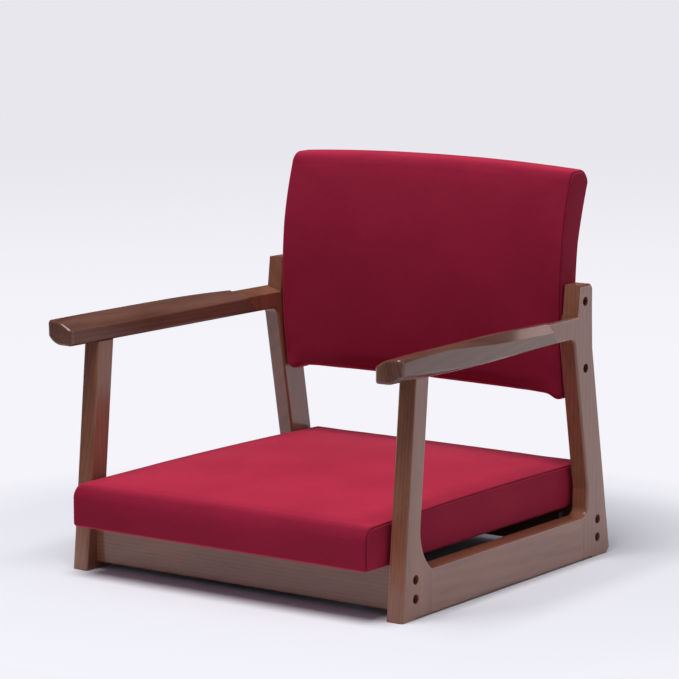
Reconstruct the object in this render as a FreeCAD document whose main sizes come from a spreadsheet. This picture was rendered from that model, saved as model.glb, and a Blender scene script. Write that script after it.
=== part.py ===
"""Floor chair: two wooden side frames with armrests, two cross rails, a padded seat and a padded backrest.

X runs across the chair, +X to the right as seen from the front. Y runs from the front to the back.
Z is up. The origin lies on the floor under the middle of the chair.
Each side frame has its own upright plane, closed a little towards the rear: its pieces are laid out
with x outward from its outer face, y back from the front foot's outer corner and z up.
"""
import FreeCAD, Part
import math
import os
import re

import Sketcher
from FreeCAD import Placement, Rotation, Vector

# Driving sizes, in millimetres and degrees.
SIZES = {
    # Side frames.
    "front_width": 558,
    "frame_length": 531.3,
    "toe_in": 1.22,
    "side_thickness": 26,
    "arm_height": 317.5,
    "arris_radius": 3.5,
    "foot_relief": 2.5,
    "front_foot_length": 30,
    "rear_foot_length": 42,
    "rear_foot_chamfer": 7,
    # Front legs.
    "leg_lean": 5.35,
    "leg_depth": 33.4,
    "leg_foot_reach": 70,
    "leg_sweep_rise": 24,
    "leg_sweep_radius": 68,
    # Floor rails.
    "floor_rail_height": 63,
    # Rear posts.
    "post_foot_length": 79,
    "post_root_depth": 63.5,
    "post_root_height": 100,
    "post_root_radius": 12,
    "post_root_flare": 1.5,
    "post_waist_depth": 103,
    "post_knee_height": 300,
    "post_knee_depth": 52.4,
    "post_back_inset": 54.3,
    "post_bend_rise": 4,
    "post_head_depth": 41,
    "post_head_lean": 5,
    "post_top": 391.5,
    "post_top_radius": 9,
    # Armrests, and the spur of the rear post that carries each one.
    "arm_overhang": 28.5,
    "arm_corner_radius": 8,
    "arm_rim_radius": 4.5,
    "spur_length": 46,
    "spur_outer_height": 32,
    "spur_inner_height": 23,
    # Cross rails.
    "rail_thickness": 22,
    "rail_bottom": 10,
    "rail_top": 70,
    "rail_arris": 1.5,
    "front_rail_setback": 21,
    "rear_rail_setback": 24,
    # Bolts between side frames and cross rails, in deep counterbores.
    "counterbore": 13,
    "counterbore_depth": 12,
    "bolt_diameter": 6,
    "bolt_head": 10,
    "bolt_head_height": 6,
    "bolt_socket": 5,
    "bolt_clearance": 1,
    "frame_bolt_length": 50,
    "lower_bolt_height": 27.5,
    "upper_bolt_height": 53.2,
    "barrel_nut_diameter": 10,
    "barrel_nut_length": 16,
    "barrel_nut_setback": 30,
    # Dowels.
    "dowel_diameter": 8,
    "dowel_length": 46,
    "arm_dowel_length": 34,
    "arm_dowel_rise": 14,
    "arm_dowel_spacing": 16,
    "spur_dowel_diameter": 6,
    "spur_dowel_length": 40,
    "spur_dowel_spacing": 10.4,
    "dowel_clearance": 0.1,
    # Seat.
    "seat_overhang": 37,
    "seat_rear_setback": 16.3,
    "seat_side_gap": 6,
    "seat_edge_height": 58.5,
    "seat_edge_crown": 3,
    "seat_crown": 11,
    "seat_rear_rise": 2,
    "seat_roll": 19,
    "seat_ease": 6,
    "seat_board_thickness": 14,
    "seat_hem": 42,
    "seat_bolt_length": 40,
    "seat_bolt_spacing": 300,
    "seat_insert_length": 12,
    # Backrest.
    "back_gap": 1.6,
    "back_top": 552.5,
    "back_bottom": 238,
    "back_droop": 6,
    "back_swell": 7,
    "back_ease": 9,
    "back_board_thickness": 20,
    "back_board_low_margin": 14,
    "back_board_high_margin": 10,
    "back_bolt_length": 35,
    "back_bolt_low": 273.6,
    "back_bolt_low_setback": 72.3,
    "back_bolt_high": 367.8,
    "back_bolt_high_setback": 75.3,
    "back_insert_length": 18,
    "insert_diameter": 10,
    "spacer_diameter": 18,
    # Covers and their fit.
    "cover_thickness": 1.2,
    "soft_clearance": 0.3,
}

doc = FreeCAD.newDocument("floor_chair")
sheet = doc.addObject("Spreadsheet::Sheet", "Sizes")
for row, (alias, number) in enumerate(SIZES.items(), start=1):
    sheet.set(f"A{row}", alias)
    sheet.set(f"B{row}", str(number))
    sheet.setAlias(f"B{row}", alias)
doc.recompute()

nodes = []


def terms(text):
    """An expression in which each size's name is its cell in the sheet."""
    return re.sub(r"[a-z_]+", lambda word: f"Sizes.{word[0]}" if word[0] in SIZES else word[0], str(text))


def size(text):
    """The present value of an expression."""
    return float(sheet.evalExpression(terms(text)))


def bind(thing, settings):
    """Tie an object's properties to expressions of the sheet's sizes."""
    for name, text in settings.items():
        thing.setExpression(name, terms(text))


def node(thing, label):
    """Count an object among the chair's pieces, under the piece's name."""
    thing.Label = label
    nodes.append(thing)
    return thing


# Places that several pieces share, as expressions.
FRONT_LINE = "-(frame_length - seat_overhang) / 2"
FRONT_RAIL_MIDDLE = "front_rail_setback + rail_thickness / 2"
REAR_RAIL_FRONT = "frame_length - rear_rail_setback - rail_thickness"
REAR_RAIL_MIDDLE = "frame_length - rear_rail_setback - rail_thickness / 2"
POST_FOOT_FRONT = "frame_length - post_foot_length"
POST_HEAD_FRONT = "frame_length - post_back_inset - post_head_depth"
SPUR_ROOT = "frame_length - post_waist_depth"
MITRE_FOOT = "frame_length - post_waist_depth - spur_length"
MITRE_HEAD = "frame_length - post_waist_depth - spur_length - spur_outer_height"
SPUR_TOP = "arm_height + spur_outer_height"
SEAT_REAR = "frame_length - seat_rear_setback"


def inner_half(run):
    """Half the width between the side frames, at a distance behind the front feet."""
    return f"(front_width / 2 - side_thickness / cos(toe_in) - ({run}) * tan(toe_in))"


def stand(thing):
    """Place a piece that is laid out from the line through the front feet."""
    bind(thing, {"Placement.Base.y": FRONT_LINE})
    return thing


def stand_at_side(thing):
    """Place a piece that is laid out in the right side frame's own plane."""
    bind(thing, {
        "Placement.Base.x": "front_width / 2",
        "Placement.Base.y": FRONT_LINE,
        "Placement.Rotation.Angle": "toe_in",
    })
    return thing


def body(name):
    return doc.addObject("PartDesign::Body", name)


def outline(owner, name, role, corners, offset="0"):
    """A closed outline on one of a body's own planes, each corner a pair of expressions."""
    sketch = owner.newObject("Sketcher::SketchObject", name)
    plane = [feature for feature in owner.Origin.OriginFeatures if feature.Role == role][0]
    sketch.AttachmentSupport = [(plane, "")]
    sketch.MapMode = "FlatFace"
    bind(sketch, {".AttachmentOffset.Base.z": offset})
    places = [Vector(size(across), size(up), 0) for across, up in corners]
    count = len(places)
    for index, place in enumerate(places):
        sketch.addGeometry(Part.LineSegment(place, places[(index + 1) % count]), False)
    for index in range(count):
        sketch.addConstraint(Sketcher.Constraint("Coincident", index, 2, (index + 1) % count, 1))
    for index, corner in enumerate(corners):
        for kind, text in zip(("DistanceX", "DistanceY"), corner):
            number = sketch.addConstraint(Sketcher.Constraint(kind, -1, 1, index, 1, size(text)))
            bind(sketch, {f"Constraints[{number}]": text})
    return sketch


def pad(owner, sketch, length, backwards=False):
    feature = owner.newObject("PartDesign::Pad", f"{owner.Name}_pad")
    feature.Profile = sketch
    feature.Reversed = backwards
    bind(feature, {"Length": length})
    doc.recompute()
    return feature


def round_edges(owner, radius, wanted):
    """Round those edges of a body's present shape that a test picks out."""
    base = owner.Tip
    names = [f"Edge{number}" for number, edge in enumerate(base.Shape.Edges, start=1) if wanted(edge)]
    feature = owner.newObject("PartDesign::Fillet", f"{owner.Name}_round")
    feature.Base = (base, names)
    bind(feature, {"Radius": radius})
    doc.recompute()
    return feature


def cross_edge(run, height):
    """A test for the edge that runs across a side frame at one place of its outline."""
    place = (size(run), size(height))

    def wanted(edge):
        return all(abs(v.Y - place[0]) < 0.01 and abs(v.Z - place[1]) < 0.01 for v in edge.Vertexes)
    return wanted


def side_arris(*joints):
    """A test for the edges of both side faces, less those at the floor and on the joints.

    A joint is a line of the outline: a place, and the direction that leads along it.
    """
    faces = (0.0, -size("side_thickness"))
    floor = size("foot_relief") + 0.01

    def on_joint(edge):
        for run, height, along in joints:
            square = Vector(0, -along[1], along[0]).normalize()
            start = Vector(0, size(run), size(height))
            if all(abs((v.Point - start).dot(square)) < 0.01 for v in edge.Vertexes):
                return True
        return False

    def wanted(edge):
        in_face = any(all(abs(v.X - face) < 0.01 for v in edge.Vertexes) for face in faces)
        near_floor = all(v.Z < floor for v in edge.Vertexes)
        return in_face and not near_floor and not on_joint(edge)
    return wanted


def rod(name, diameter, length, start, direction):
    """A round bar from a place, its end, along one direction."""
    bar = doc.addObject("Part::Cylinder", name)
    bar.Placement = Placement(Vector(), Rotation(Vector(0, 0, 1), Vector(*direction)))
    bind(bar, {
        "Radius": f"({diameter}) / 2",
        "Height": length,
        "Placement.Base.x": start[0],
        "Placement.Base.y": start[1],
        "Placement.Base.z": start[2],
    })
    return bar


def group(name, members):
    bundle = doc.addObject("Part::Compound", name)
    bundle.Links = members
    return bundle


def mirrored(thing, name):
    """The left-hand twin of a right-hand object."""
    twin = doc.addObject("Part::Mirroring", name)
    twin.Source = thing
    twin.Normal = Vector(1, 0, 0)
    return twin


def cut(name, base, tool):
    result = doc.addObject("Part::Cut", name)
    result.Base = base
    result.Tool = tool
    return result


def copies(name, source, places, direction):
    """Copies of a piece at several places, its own Z axis turned to one direction."""
    links = []
    for number, place in enumerate(places, start=1):
        link = doc.addObject("App::Link", f"{name}_{number}")
        link.LinkedObject = source
        link.Placement = Placement(Vector(), Rotation(Vector(0, 0, 1), Vector(*direction)))
        bind(link, {
            "Placement.Base.x": place[0],
            "Placement.Base.y": place[1],
            "Placement.Base.z": place[2],
        })
        links.append(link)
    return links


def both_sides(piece, name):
    """The right-hand piece and its left-hand twin, each a piece of its own."""
    node(piece, f"right_{name}")
    node(mirrored(piece, f"left_{name}"), f"left_{name}")


def both_side_group(name, members):
    """Small pieces of the right side frame and their left-hand twins, as one group."""
    right = stand_at_side(group(f"right_{name}", members))
    node(group(name, [right, mirrored(right, f"left_{name}")]), name)


INWARD = (-1, 0, 0)
UP = (0, 0, 1)
BACK = (0, 1, 0)

# Frame bolts: two through each foot into the end of a cross rail, where they meet barrel nuts.
BOLT_HEIGHTS = ("lower_bolt_height", "upper_bolt_height")
FRAME_BOLTS = [(run, height) for run in (FRONT_RAIL_MIDDLE, REAR_RAIL_MIDDLE) for height in BOLT_HEIGHTS]

# Backrest bolts: two through each rear post, at the middle of its width there.
BACK_BOLTS = (
    ("frame_length - back_bolt_low_setback", "back_bolt_low"),
    ("frame_length - back_bolt_high_setback", "back_bolt_high"),
)

# Dowels between a floor rail and the feet, clear of the bolts that cross the feet.
RAIL_DOWEL_HEIGHTS = ("lower_bolt_height / 2", "(lower_bolt_height + upper_bolt_height) / 2")
DOWEL_X = "-side_thickness / 2"


def bolt_drilling(name, run, height, length):
    """Counterbore and clearance hole of one bolt, from the outer face inward."""
    shank = f"{length} + counterbore_depth + 2"
    return [
        rod(f"{name}_sink", "counterbore", "counterbore_depth + 1", ("1", run, height), INWARD),
        rod(f"{name}_shank", "bolt_diameter + bolt_clearance", shank, ("1", run, height), INWARD),
    ]


def dowels(label, hole_only):
    """Dowels of the right side frame, or with hole_only the holes that take them."""
    spare = "dowel_clearance" if hole_only else "0"
    wide = f"dowel_diameter + 2 * {spare}"
    bars = {"floor_rail_dowels": [], "armrest_dowels": []}
    for end, joint in (("front", "leg_foot_reach"), ("rear", POST_FOOT_FRONT)):
        for number, height in enumerate(RAIL_DOWEL_HEIGHTS):
            start = (DOWEL_X, f"{joint} - dowel_length / 2 - {spare}", height)
            name = f"{label}_{end}_{number}"
            bars["floor_rail_dowels"].append(rod(name, wide, f"dowel_length + 2 * {spare}", start, BACK))
    leg_top = "arm_height * tan(leg_lean) + leg_depth / 2"
    for number, side in enumerate(("-", "+")):
        bottom = f"arm_height + arm_dowel_rise - arm_dowel_length - {spare}"
        start = (DOWEL_X, f"{leg_top} {side} arm_dowel_spacing / 2", bottom)
        name = f"{label}_leg_{number}"
        bars["armrest_dowels"].append(rod(name, wide, f"arm_dowel_length + 2 * {spare}", start, UP))
    mitre_middle = f"({MITRE_FOOT} + {MITRE_HEAD}) / 2"
    for number, side in enumerate(("-", "+")):
        start = (
            f"{DOWEL_X} {side} spur_dowel_spacing / 2",
            f"{mitre_middle} - spur_dowel_length / 2 - {spare}",
            "arm_height + (spur_inner_height + spur_outer_height) / 4",
        )
        name = f"{label}_spur_{number}"
        thin = f"spur_dowel_diameter + 2 * {spare}"
        bars["armrest_dowels"].append(rod(name, thin, f"spur_dowel_length + 2 * {spare}", start, BACK))
    return bars


# Everything that is drilled on the right side, then the same on both sides.
drills = []
for number, (run, height) in enumerate(FRAME_BOLTS):
    drills += bolt_drilling(f"frame_drill_{number}", run, height, "frame_bolt_length")
for number, (run, height) in enumerate(BACK_BOLTS):
    drills += bolt_drilling(f"back_drill_{number}", run, height, "back_bolt_length")
for bars in dowels("hole", hole_only=True).values():
    drills += bars
NUT_X = "-side_thickness - barrel_nut_setback"
nut_hole = "barrel_nut_length / 2 + dowel_clearance"
for number, height in enumerate(BOLT_HEIGHTS):
    front_start = (NUT_X, f"{FRONT_RAIL_MIDDLE} - {nut_hole}", height)
    rear_start = (NUT_X, f"{REAR_RAIL_MIDDLE} + {nut_hole}", height)
    wide = "barrel_nut_diameter + 2 * dowel_clearance"
    drills.append(rod(f"front_nut_hole_{number}", wide, "rail_thickness", front_start, BACK))
    drills.append(rod(f"rear_nut_hole_{number}", wide, "rail_thickness", rear_start, (0, -1, 0)))
right_drillings = stand_at_side(group("right_drillings", drills))
left_drillings = mirrored(right_drillings, "left_drillings")
drillings = group("drillings", [right_drillings, left_drillings])


# Front leg: a slim leaning leg whose foot sweeps back to meet the floor rail.
leg = stand_at_side(body("leg_blank"))
leg_back = "leg_depth + ({}) * tan(leg_lean)"
sweep_height = "floor_rail_height + leg_sweep_rise"
leg_outline = outline(leg, "leg_outline", "YZ_Plane", [
    ("0", "0"),
    ("front_foot_length", "0"),
    ("front_foot_length", "foot_relief"),
    ("leg_foot_reach", "foot_relief"),
    ("leg_foot_reach", "floor_rail_height"),
    (leg_back.format(sweep_height), sweep_height),
    (leg_back.format("arm_height"), "arm_height"),
    ("arm_height * tan(leg_lean)", "arm_height"),
])
pad(leg, leg_outline, "side_thickness", backwards=True)
round_edges(leg, "leg_sweep_radius", cross_edge(leg_back.format(sweep_height), sweep_height))
round_edges(leg, "arris_radius", side_arris(
    ("leg_foot_reach", "0", (0, 1)),
    ("0", "arm_height", (1, 0)),
))
both_sides(cut("leg", leg, right_drillings), "front_leg")

# Floor rail: a straight rail between the feet, a little clear of the floor.
floor_rail = stand_at_side(body("floor_rail_blank"))
floor_rail_outline = outline(floor_rail, "floor_rail_outline", "YZ_Plane", [
    ("leg_foot_reach", "foot_relief"),
    (POST_FOOT_FRONT, "foot_relief"),
    (POST_FOOT_FRONT, "floor_rail_height"),
    ("leg_foot_reach", "floor_rail_height"),
])
pad(floor_rail, floor_rail_outline, "side_thickness", backwards=True)
round_edges(floor_rail, "arris_radius", side_arris(
    ("leg_foot_reach", "0", (0, 1)),
    (POST_FOOT_FRONT, "0", (0, 1)),
))
both_sides(cut("floor_rail", floor_rail, right_drillings), "floor_rail")

# Rear post: leans forward from its foot, then stands upright beside the backrest, with a short spur
# forward whose slanted end takes the armrest.
post = stand_at_side(body("post_blank"))
rear_face = "frame_length"
root_front = "frame_length - post_root_depth"
post_outline = outline(post, "post_outline", "YZ_Plane", [
    (POST_FOOT_FRONT, "foot_relief"),
    ("frame_length - rear_foot_chamfer - rear_foot_length", "foot_relief"),
    ("frame_length - rear_foot_chamfer - rear_foot_length", "0"),
    ("frame_length - rear_foot_chamfer", "0"),
    (rear_face, "rear_foot_chamfer"),
    ("frame_length - post_knee_depth", "post_knee_height"),
    ("frame_length - post_back_inset", f"{SPUR_TOP} + post_bend_rise"),
    ("frame_length - post_back_inset", "post_top"),
    (f"{POST_HEAD_FRONT} + post_head_lean", "post_top"),
    (POST_HEAD_FRONT, SPUR_TOP),
    (MITRE_HEAD, SPUR_TOP),
    (MITRE_FOOT, "arm_height"),
    (SPUR_ROOT, "arm_height"),
    (root_front, "post_root_height"),
    (f"{root_front} - post_root_flare", "floor_rail_height"),
    (POST_FOOT_FRONT, "floor_rail_height"),
])
pad(post, post_outline, "side_thickness", backwards=True)
round_edges(post, "post_root_radius", cross_edge(f"{root_front} - post_root_flare", "floor_rail_height"))
round_edges(post, "post_top_radius", cross_edge("frame_length - post_back_inset", "post_top"))
round_edges(post, "post_root_radius", cross_edge(SPUR_ROOT, "arm_height"))
mitre_direction = (-size("spur_outer_height"), size("spur_outer_height"))
round_edges(post, "arris_radius", side_arris(
    (POST_FOOT_FRONT, "0", (0, 1)),
    (MITRE_FOOT, "arm_height", mitre_direction),
))

# The spur's top falls away inward, as the armrest's does.
spur_slope = outline(post, "spur_slope", "XZ_Plane", [
    ("-side_thickness - 1", "arm_height + spur_inner_height"),
    ("0", SPUR_TOP),
    ("0", f"{SPUR_TOP} + 2"),
    ("-side_thickness - 1", f"{SPUR_TOP} + 2"),
], offset=f"-({POST_HEAD_FRONT})")
uncut_volume = post.Tip.Shape.Volume
slope = post.newObject("PartDesign::Pocket", "spur_slope_cut")
slope.Profile = spur_slope
slope.Reversed = True
bind(slope, {"Length": f"{POST_HEAD_FRONT} - ({MITRE_HEAD}) + 5"})
doc.recompute()
if slope.Shape.Volume > uncut_volume - 1:
    raise RuntimeError("the spur's top was not sloped")
both_sides(cut("post", post, right_drillings), "rear_post")

# Armrest: a sculpted blank that flares outward in front of the spur. Each station gives its distance
# behind the front foot and the section there: where the flat underside ends, then places out and up
# that lead up the outer side and over the top, the height of the inner edge and the top's crown.
ARM_STATIONS = (
    ("arm_corner_radius - arm_overhang",
     -8.0, (17.0, 12.0), (17.6, 29.5), (15.5, 33.0), (12.0, 34.2), (7.0, 34.0), 22.0, 2.8),
    ("60", 0.5, (14.0, 9.5), (16.0, 32.2), (8.5, 35.4), (4.6, 36.1), (0.5, 35.2), 21.4, 2.6),
    ("140", 5.0, (10.8, 5.5), (13.5, 28.8), (6.5, 35.6), (3.3, 36.5), (-0.5, 35.5), 21.4, 2.2),
    ("210", 3.7, (8.7, 5.0), (11.0, 23.6), (5.6, 35.6), (2.6, 36.5), (-1.0, 35.6), 21.6, 2.0),
    ("280", 0.2, (4.7, 4.5), (8.5, 21.1), (5.8, 34.2), (3.2, 35.4), (-0.4, 34.5), 22.4, 1.5),
    (MITRE_HEAD, -2.5, (2.0, 4.5), (6.0, 18.6), (3.6, 31.8), (1.3, 33.1), (-2.2, 32.2), 22.8, 0.8),
    (f"{MITRE_FOOT} + 8",
     -3.5, (0.5, 4.5), (5.0, 17.8), (2.2, 30.0), (0.0, 31.4), (-3.2, 30.6), 23.0, 0.3),
)
ARM_END_TURNS = (0, 28, 50, 68, 82, 90)  # degrees round the front end's upright corners


def outward_arc(start, end, bulge):
    """An arc that bulges outward of the way between two corners of an armrest's section."""
    along = (end - start).normalize()
    outward = Vector(along.z, 0, -along.x)
    return Part.Arc(start, (start + end) / 2 + outward * bulge, end).toShape()


def smooth_arc(start, end, tangent):
    """An arc outward of the way between two corners that leaves the first along a direction."""
    way = end - start
    turn = tangent.getAngle(way)
    return outward_arc(start, end, way.Length / 2 * math.tan(turn / 2))


def arm_section(run, station, narrower=0.0, flatter=0.0):
    """One section across an armrest, drawn in at each side and above and below by two amounts."""
    _, belly, flank, shoulder, brow, crest, ridge, inner, crown = station
    inside = -size("side_thickness")
    low_ease = size("arris_radius")
    high_ease = low_ease * 0.6
    middle = (shoulder[0] + inside) / 2
    width_share = 1 - narrower / (shoulder[0] - middle)
    height_share = 1 - 2 * flatter / crest[1]
    bottom = size("arm_height") + flatter
    places = (
        (inside, low_ease), (inside + low_ease, 0), (belly, 0), flank, shoulder, brow, crest, ridge,
        (inside + high_ease, inner + high_ease / 2), (inside, inner - high_ease),
    )
    corners = [
        Vector(middle + (out - middle) * width_share, run, bottom + up * height_share) for out, up in places
    ]
    return Part.Wire([
        smooth_arc(corners[0], corners[1], Vector(0, 0, -1)),
        Part.LineSegment(corners[1], corners[2]).toShape(),
        smooth_arc(corners[2], corners[3], Vector(1, 0, 0)),
        Part.LineSegment(corners[3], corners[4]).toShape(),
        Part.LineSegment(corners[4], corners[5]).toShape(),
        Part.Arc(corners[5], corners[6], corners[7]).toShape(),
        outward_arc(corners[7], corners[8], crown),
        outward_arc(corners[8], corners[9], (corners[9] - corners[8]).Length * 0.15),
        Part.LineSegment(corners[9], corners[0]).toShape(),
    ])


def arm_end():
    """The front end, rounded in plan and, more tightly, above and below."""
    corner_radius, rim_radius = size("arm_corner_radius"), size("arm_rim_radius")
    sections = []
    for turn in ARM_END_TURNS:
        depth = corner_radius * (1 - math.sin(math.radians(turn)))
        narrower = corner_radius * (1 - math.cos(math.radians(turn)))
        flatter = rim_radius - math.sqrt(rim_radius ** 2 - max(0, rim_radius - depth) ** 2)
        sections.append(arm_section(depth - size("arm_overhang"), ARM_STATIONS[0], narrower, flatter))
    return Part.makeLoft(sections, True, False)


def prism(corners, direction):
    """A straight block raised from a closed outline."""
    return Part.Face(Part.makePolygon(corners + corners[:1])).extrude(direction)


def arm_blank():
    blank = Part.makeLoft([arm_section(size(station[0]), station) for station in ARM_STATIONS], True, False)
    side = -2 * size("side_thickness")
    foot = Vector(side, size(MITRE_FOOT), size("arm_height"))
    head = Vector(side, size(MITRE_HEAD), size(SPUR_TOP))
    reach = (head - foot) * 2
    behind = Vector(0, size("frame_length"), 0)
    mitre_corners = [foot - reach, head + reach, head + reach + behind, foot - reach + behind]
    return blank.fuse(arm_end()).cut(prism(mitre_corners, Vector(-2 * side, 0, 0)))


arm = doc.addObject("Part::Feature", "arm_blank")
arm.Shape = arm_blank()
stand_at_side(arm)
both_sides(cut("arm", arm, right_drillings), "armrest")


# Cross rails: flat boards on edge between the side frames, under the seat.
def seat_bolt_places(height):
    places = []
    for run in (FRONT_RAIL_MIDDLE, REAR_RAIL_MIDDLE):
        for side in ("-", ""):
            places.append((f"{side}seat_bolt_spacing / 2", run, height))
    return places


SEAT_BOLT_TOP = "rail_top + cover_thickness + soft_clearance + seat_insert_length - 2"
seat_drills = []
for number, place in enumerate(seat_bolt_places("0")):
    hole = "bolt_diameter + bolt_clearance"
    seat_drills.append(rod(f"seat_drill_{number}", hole, f"{SEAT_BOLT_TOP} + 1", place, UP))
    sink = f"{SEAT_BOLT_TOP} - seat_bolt_length"
    seat_drills.append(rod(f"seat_sink_{number}", "counterbore", sink, place, UP))
seat_drillings = stand(group("seat_drillings", seat_drills))


def cross_rail(name, setback):
    """A board whose ends follow the side frames."""
    board = stand(body(f"{name}_blank"))
    rear = f"({setback}) + rail_thickness"
    sketch = outline(board, f"{name}_outline", "XY_Plane", [
        (f"-{inner_half(setback)}", setback),
        (inner_half(setback), setback),
        (inner_half(rear), rear),
        (f"-{inner_half(rear)}", rear),
    ], offset="rail_bottom")
    pad(board, sketch, "rail_top - rail_bottom")

    def lower_arris(edge):
        return edge.Length > size("front_width / 2") and edge.Vertexes[0].Z < size("rail_top") - 1
    round_edges(board, "rail_arris", lower_arris)
    drilled = cut(f"{name}_drilled", board, drillings)
    return node(cut(name, drilled, seat_drillings), name)


cross_rail("front_rail", "front_rail_setback")
cross_rail("rear_rail", REAR_RAIL_FRONT)


# Bolts: socket-head screws, drawn head up along Z with the head's underside at the origin.
def bolt(name, length):
    head = rod(f"{name}_head", "bolt_head", "bolt_head_height", ("0", "0", "0"), UP)
    shank = rod(f"{name}_shank", "bolt_diameter", length, ("0", "0", f"-({length})"), UP)
    whole = doc.addObject("Part::Fuse", f"{name}_whole")
    whole.Base = head
    whole.Tool = shank
    socket = doc.addObject("Part::Prism", f"{name}_socket")
    socket.Polygon = 6
    bind(socket, {
        "Circumradius": "bolt_socket / 2 / cos(30)",
        "Height": "bolt_head_height",
        "Placement.Base.z": "bolt_head_height / 2",
    })
    return cut(name, whole, socket)


OUTWARD = (1, 0, 0)
SEAT_OF_HEAD = "-counterbore_depth"
frame_bolt = bolt("frame_bolt", "frame_bolt_length")
places = [(SEAT_OF_HEAD, run, height) for run, height in FRAME_BOLTS]
both_side_group("frame_bolts", copies("frame_bolt_at", frame_bolt, places, OUTWARD))

back_bolt = bolt("back_bolt", "back_bolt_length")
places = [(SEAT_OF_HEAD, run, height) for run, height in BACK_BOLTS]
both_side_group("backrest_bolts", copies("back_bolt_at", back_bolt, places, OUTWARD))

seat_bolt = bolt("seat_bolt", "seat_bolt_length")
places = seat_bolt_places(f"{SEAT_BOLT_TOP} - seat_bolt_length")
node(stand(group("seat_bolts", copies("seat_bolt_at", seat_bolt, places, (0, 0, -1)))), "seat_bolts")

# Barrel nuts: short round bars across each cross rail's end, threaded for the frame bolts.
nut_bar = rod("nut_bar", "barrel_nut_diameter", "barrel_nut_length", ("0", "0", "-barrel_nut_length / 2"), UP)
nut_thread = rod(
    "nut_thread", "bolt_diameter + 2 * dowel_clearance", "2 * barrel_nut_diameter",
    ("-barrel_nut_diameter", "0", "0"), OUTWARD,
)
barrel_nut = cut("barrel_nut", nut_bar, nut_thread)
places = [(NUT_X, run, height) for run, height in FRAME_BOLTS]
both_side_group("barrel_nuts", copies("barrel_nut_at", barrel_nut, places, BACK))

# Dowels that join the side frames' own pieces.
for name, bars in dowels("dowel", hole_only=False).items():
    both_side_group(name, bars)


# Cushions: each form is lofted across the chair through sections that follow the side frames'
# planes, with a flat side piece at each end whose rim is eased.
def cushion_section(profile, gap, share, setback, **shape):
    """One closed section of a cushion, in a plane between the chair's middle and its side."""
    edges = []
    for kind, *places in profile(share=share, **shape):
        points = []
        for y, z in places:
            half = size(inner_half(str(y))) - gap - setback
            points.append(Vector(half * share, y, z))
        edges.append(Part.Arc(*points).toShape() if kind == "arc" else Part.LineSegment(*points).toShape())
    return Part.Wire(edges)


# Each side piece's rim: how far in from the side a section lies, how much smaller it is there, and
# how much lower its top and its bottom corners are.
SEAT_RIM = ((6.0, 0.0, 0.0, 0.0), (1.8, 1.0, 0.0, 0.0), (0.0, 4.0, 0.0, 0.0))
BACK_RIM = ((8.0, 0.0, 0.0, 0.0), (2.0, 0.8, 2.0, 3.0), (0.0, 3.0, 6.0, 3.0))


def cushion(profile, gap, rim, inset):
    """The middle of a cushion and its two side pieces, all drawn in by an inset."""
    shares = (-1, -0.55, 0, 0.55, 1)
    middle = Part.makeLoft([
        cushion_section(profile, gap, share, rim[0][0] + inset, inset=inset) for share in shares
    ], True, False)
    ends = []
    for side in (-1, 1):
        rings = [
            cushion_section(
                profile, gap, side, setback + inset,
                inset=inset + smaller, top_drop=top_drop, bottom_drop=bottom_drop,
            )
            for setback, smaller, top_drop, bottom_drop in rim
        ]
        ends.append(Part.makeLoft(rings, True, True))
    return middle, ends


def whole_cushion(profile, gap, rim, inset):
    middle, ends = cushion(profile, gap, rim, inset)
    return middle.fuse(ends).removeSplitter()


def cover_pieces(name, profile, gap, rim, openings, holes):
    """The cover's sewn panels: the long one round the middle and one on each side."""
    middle, ends = cushion(profile, gap, rim, 0)
    filling = whole_cushion(profile, gap, rim, size("cover_thickness"))
    panels = {f"{name}_cover": middle}
    panels[f"{name}_cover_left_side"] = ends[0]
    panels[f"{name}_cover_right_side"] = ends[1]
    for label, panel in panels.items():
        feature = doc.addObject("Part::Feature", f"{label}_panel")
        shell = panel.cut(filling)
        for opening in openings:
            shell = shell.cut(opening)
        feature.Shape = shell
        stand(feature)
        node(cut(label, feature, holes), label)


def arc_between(start, end, bulge):
    """An arc from one place to another that bulges to the left of the way there."""
    along = (end[0] - start[0], end[1] - start[1])
    length = (along[0] ** 2 + along[1] ** 2) ** 0.5
    middle = ((start[0] + end[0]) / 2, (start[1] + end[1]) / 2)
    top = (middle[0] - along[1] / length * bulge, middle[1] + along[0] / length * bulge)
    return ("arc", start, top, end)


CORNER_BULGE = 0.2071  # of the chord, for a quarter round


def corner(start, end):
    """A quarter round from one place to another, outward of a clockwise outline."""
    chord = ((end[0] - start[0]) ** 2 + (end[1] - start[1]) ** 2) ** 0.5
    return arc_between(start, end, chord * CORNER_BULGE)


def eased(radius, inset):
    """A corner's rounding, a little less where the section is drawn in."""
    return size(radius) - min(inset, size(radius) / 2)


def seat_profile(share, inset, top_drop=0, bottom_drop=0):
    """The seat from the side: flat below, a rolled front edge and a crowned top."""
    front = inset - size("seat_overhang")
    rear = size(SEAT_REAR) - inset
    bottom = size("rail_top") + inset - bottom_drop
    top = size("rail_top + seat_edge_height") - inset - top_drop
    rear_top = top + size("seat_rear_rise")
    ease = eased("seat_ease", inset)
    roll = size("seat_roll") - inset
    crown = size("seat_crown") * (1 - share ** 2) + size("seat_edge_crown")
    return [
        ("line", (rear - ease, bottom), (front + ease, bottom)),
        corner((front + ease, bottom), (front, bottom + ease)),
        ("line", (front, bottom + ease), (front, top - roll)),
        corner((front, top - roll), (front + roll, top)),
        arc_between((front + roll, top), (rear - ease, rear_top), crown),
        corner((rear - ease, rear_top), (rear, rear_top - ease)),
        ("line", (rear, rear_top - ease), (rear, bottom + ease)),
        corner((rear, bottom + ease), (rear - ease, bottom)),
    ]


seat_gap = size("seat_side_gap")
hem = size("seat_hem")


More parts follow.
